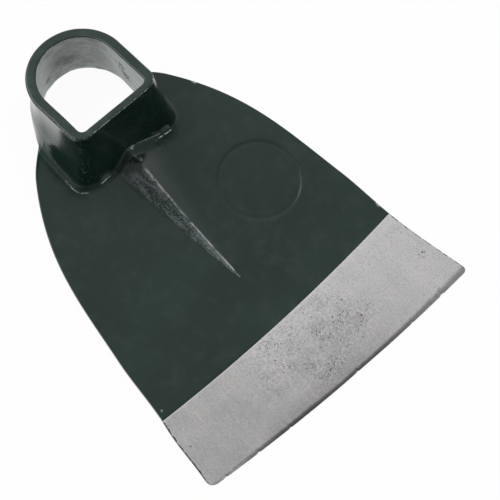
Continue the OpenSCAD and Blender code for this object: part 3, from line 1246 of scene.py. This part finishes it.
def painted_steel(name, cast):
    """Dark green enamel over forged steel, worn and bare in places, with bare marks that also stand in for
    painted highlights, and a coarse cast look where marked.
    """
    finish = Finish(name)
    cloud = finish.grain(55, 3, 1)
    peel = finish.grain(2.6, 2, 3)
    grit = finish.grain(0.9, 3, 4)
    coarse = finish.mark("rough_cast")
    # the worn places include bare marks that stand in for painted highlights and glints
    worn = paint_wear(finish)
    inside = finish.span(finish.add(finish.mark("bare"), finish.grain(3.5, 4, 7)), 0.92, 1.05)
    bare = finish.most(worn, inside)
    colour = finish.cover(
        GREEN_DEEP,
        (finish.span(cloud, 0.3, 0.7), GREEN_LIGHT),
        (paint_dust_and_sheen(finish, coarse), DUST_AND_SHEEN),
        (worn, BARE_STEEL_AND_GLINTS),
        (inside, bore_metal(finish)),
    )
    paint_rough = finish.span(cloud, 0.3, 0.7, 0.13, 0.22)
    roughness = finish.blend(bare, paint_rough, finish.span(grit, 0.3, 0.7, 0.42, 0.6))
    normal = finish.bump((peel, 0.018 * cast), (grit, 0.003 * cast), (finish.times(coarse, grit), 0.35))
    finish.shader.inputs["Specular Tint"].default_value = PAINT_GLINT
    return finish.done(colour, roughness, normal, finish.times(bare, 0.5))


# Colours of the ground steel
STEEL_COOL = (0.50, 0.50, 0.51, 1)
STEEL_WARM = (0.54, 0.525, 0.52, 1)
STEEL_SHADE = (0.30, 0.295, 0.295, 1)
STEEL_DARK = (0.065, 0.063, 0.065, 1)
STEEL_PIT = (0.06, 0.056, 0.055, 1)
STEEL_BRIGHT = (0.78, 0.77, 0.77, 1)


def steel_tones(finish, lines, sandy, mottle, pitted):
    """Colour of the ground steel, with grinding lines, painted shade and painted light, and grit where
    pitted.
    """
    smudge = finish.grain(30, 4, 16, (1, 0.7, 1))
    stained = finish.span(finish.grain(8, 4, 31, (1.6, 0.8, 1)), 0.50, 0.68, 0.0, 0.30)
    gritty = finish.grain(1.5, 3, 32)
    return finish.cover(
        STEEL_COOL,
        (finish.span(mottle, 0.35, 0.65), STEEL_WARM),
        (finish.span(smudge, 0.50, 0.75, 0.0, 0.35), STEEL_SHADE),
        (finish.span(lines, 0.52, 0.78, 0.0, 0.30), STEEL_BRIGHT),
        (finish.span(lines, 0.25, 0.46, 0.30, 0.0), STEEL_SHADE),
        # painted light, brightening the steel toward the right and below the joint
        (finish.where("fresh", 0.47), STEEL_BRIGHT),
        # painted shade along the middle of the edge and at the lower left
        (finish.where("dull", 0.62), STEEL_SHADE),
        (finish.span(sandy, 0.30, 0.50, 0.50, 0.0), STEEL_SHADE),
        (finish.span(sandy, 0.52, 0.72, 0.0, 0.30), STEEL_BRIGHT),
        (finish.times(pitted, stained), STEEL_SHADE),
        (finish.times(pitted, finish.span(gritty, 0.34, 0.50, 0.24, 0.0)), STEEL_SHADE),
        (finish.times(pitted, finish.span(gritty, 0.48, 0.64, 0.0, 0.34)), STEEL_BRIGHT),
    )


def steel_pits(finish, pitted):
    """Where the steel has pits: large and small ones in clusters, and single deep ones."""
    cluster = finish.span(finish.grain(9, 3, 30), 0.36, 0.62, 0.108, 0.168)
    dense = finish.times(pitted, cluster)
    large = finish.span(finish.add(dense, finish.grain(1.2, 2, 15)), 0.78, 0.83)
    small = finish.span(finish.add(dense, finish.grain(0.7, 2, 21)), 0.72, 0.80, 0.0, 0.7)
    ragged = finish.add(finish.mark("hole"), finish.grain(0.9, 3, 28))
    return finish.most(large, small, finish.span(ragged, 1.22, 1.36, 0.0, 0.85))


def ground_steel():
    """Bare steel ground along the blade, with painted shade on the bevel and a painted highlight along the
    line at the paint.
    """
    finish = Finish("ground_steel_finish")
    lines = finish.grain(0.6, 3, 11, (1, 22, 1))
    sandy = finish.grain(0.9, 4, 12)
    mottle = finish.grain(14, 4, 13)
    pitted = finish.mark("pitted")
    pits = steel_pits(finish, pitted)
    scuff = finish.add(finish.where("rim", 0.42), finish.grain(2.0, 4, 17))
    colour = finish.cover(
        steel_tones(finish, lines, sandy, mottle, pitted),
        (pits, STEEL_PIT),
        (finish.span(scuff, 0.74, 0.86), STEEL_DARK),
        # painted shade on the bevel
        (finish.where("bevel", 0.85), STEEL_DARK),
        # painted highlight along the paint's edge
        (finish.where("joint", 0.6), STEEL_BRIGHT),
    )
    roughness = finish.span(finish.add(lines, mottle), 0.7, 1.3, 0.40, 0.55)
    return finish.done(colour, roughness, finish.bump((lines, 0.025), (sandy, 0.02), (pits, -0.15)), 1.0)


# Floor, light and camera

FLOOR_HALF = 3.0
FLOOR_WHITE = (0.93, 0.93, 0.93, 1)
FLOOR_PALE = (0.92, 0.92, 0.92, 1)
FLOOR_GLOW = 0.95
FLOOR_GAP = 0.0003


def floor_finish():
    """Pale floor that the camera and reflections see nearly white, and that still takes a soft shadow."""
    finish = Finish("floor_finish")
    shade = finish.span(finish.grain(300, 3, 51), 0.3, 0.7)
    colour = finish.cover(FLOOR_WHITE, (shade, FLOOR_PALE))
    finish.done(colour, 0.8, finish.bump((finish.grain(4, 2, 52), 0.02)))
    path = finish.node("LightPath", {}).outputs
    seen = finish.times(finish.most(path["Is Camera Ray"], path["Is Transmission Ray"]), FLOOR_GLOW)
    share = finish.most(seen, path["Is Glossy Ray"])
    glow = finish.node("Emission", {}).outputs[0]
    both = finish.node("MixShader", {0: share, 1: finish.shader.outputs[0], 2: glow}).outputs[0]
    finish.tree.links.new(both, finish.tree.nodes["Material Output"].inputs["Surface"])
    return finish.material


def make_floor():
    mesh = bpy.data.meshes.new("floor")
    low = cad_low.z - FLOOR_GAP
    turns = ((-1, -1), (1, -1), (1, 1), (-1, 1))
    mesh.from_pydata([(x * FLOOR_HALF, y * FLOOR_HALF, low) for x, y in turns], [], [(0, 1, 2, 3)])
    mesh.materials.append(floor_finish())
    floor = place("floor", mesh)


# Studio surround: parts of the direction along the blade, the levels there, and the gain to the right
FRONT_PART = -0.7
BACK_PART = 0.8
FRONT_LEVEL = 0.25
BACK_LEVEL = 1.0
RIGHT_GAIN = 0.2


def make_world():
    """Soft studio surround, lighter behind the eye than before the edge, and a little at the right."""
    world = bpy.data.worlds.new("studio")
    bpy.context.scene.world = world
    world.use_nodes = True
    tree = world.node_tree
    background = tree.nodes["Background"]
    direction = add_node(tree, "TexCoord", {}).outputs["Generated"]
    parts = add_node(tree, "SeparateXYZ", {0: direction}).outputs
    level = map_range(tree, "LINEAR", parts["Y"], FRONT_PART, BACK_PART, FRONT_LEVEL, BACK_LEVEL)
    level = add_node(tree, "Math", {0: parts["X"], 1: RIGHT_GAIN, 2: level}, operation="MULTIPLY_ADD")
    tree.links.new(level.outputs[0], background.inputs["Strength"])
    background.inputs["Color"].default_value = (1, 1, 1, 1)


# Lamps: name, place, width and height in metres, and power in watts; each faces the origin
LAMPS = (
    ("key", (-0.8, 2.4, 2.0), 2.4, 2.4, 50.0),
    ("front", (0.6, -1.9, 0.65), 0.5, 0.16, 5.0),
)


def make_lamps():
    for name, spot, width, height, power in LAMPS:
        lamp = bpy.data.lights.new(name, "AREA")
        lamp.shape = "RECTANGLE"
        lamp.size = width
        lamp.size_y = height
        lamp.energy = power
        holder = place(name, lamp)
        holder.location = spot
        holder.rotation_euler = (-Vector(spot)).to_track_quat("-Z", "Y").to_euler()


# Camera: where it aims and its distance in millimetres, its bearing, elevation and roll, and its lens
CAMERA_AIM = (13.98, -34.06, 3.5)
CAMERA_DISTANCE = 1586.5
CAMERA_TURNS = (-53.22, 71.64, 11.44)
CAMERA_LENS = 201.6
CAMERA_SENSOR = 36.0
CAMERA_FAR = 20.0


def make_camera():
    data = bpy.data.cameras.new("camera")
    data.lens = CAMERA_LENS
    data.sensor_width = CAMERA_SENSOR
    data.clip_end = CAMERA_FAR
    camera = place("camera", data)
    bearing, elevation, roll = map(math.radians, CAMERA_TURNS)
    tilt = Matrix.Rotation(math.pi / 2 - elevation, 4, "X")
    turn = Matrix.Rotation(bearing, 4, "Z") @ tilt @ Matrix.Rotation(roll, 4, "Z")
    aim = Matrix.Translation(Vector(CAMERA_AIM) * MM)
    camera.matrix_world = aim @ turn @ Matrix.Translation((0, 0, CAMERA_DISTANCE * MM))
    bpy.context.scene.camera = camera


paint = painted_steel("green_paint_finish", 1.0)
weld_paint = painted_steel("weld_paint_finish", 1.8)

make_piece("blade_plate", plate_skin(), paint)
make_piece("edge_steel", steel_skin(), ground_steel())
make_piece("eye_socket", eye_skin(), paint)
make_piece("stiffening_rib", rib_skin(), paint)
make_piece("socket_weld_left", eye_weld_skin(-1), weld_paint)
make_piece("socket_weld_right", eye_weld_skin(1), weld_paint)
make_piece("rib_weld_left", rib_weld_skin(-1), weld_paint)
make_piece("rib_weld_right", rib_weld_skin(1), weld_paint)

make_floor()
make_world()
make_lamps()
make_camera()
bpy.context.scene.view_settings.view_transform = "Standard"
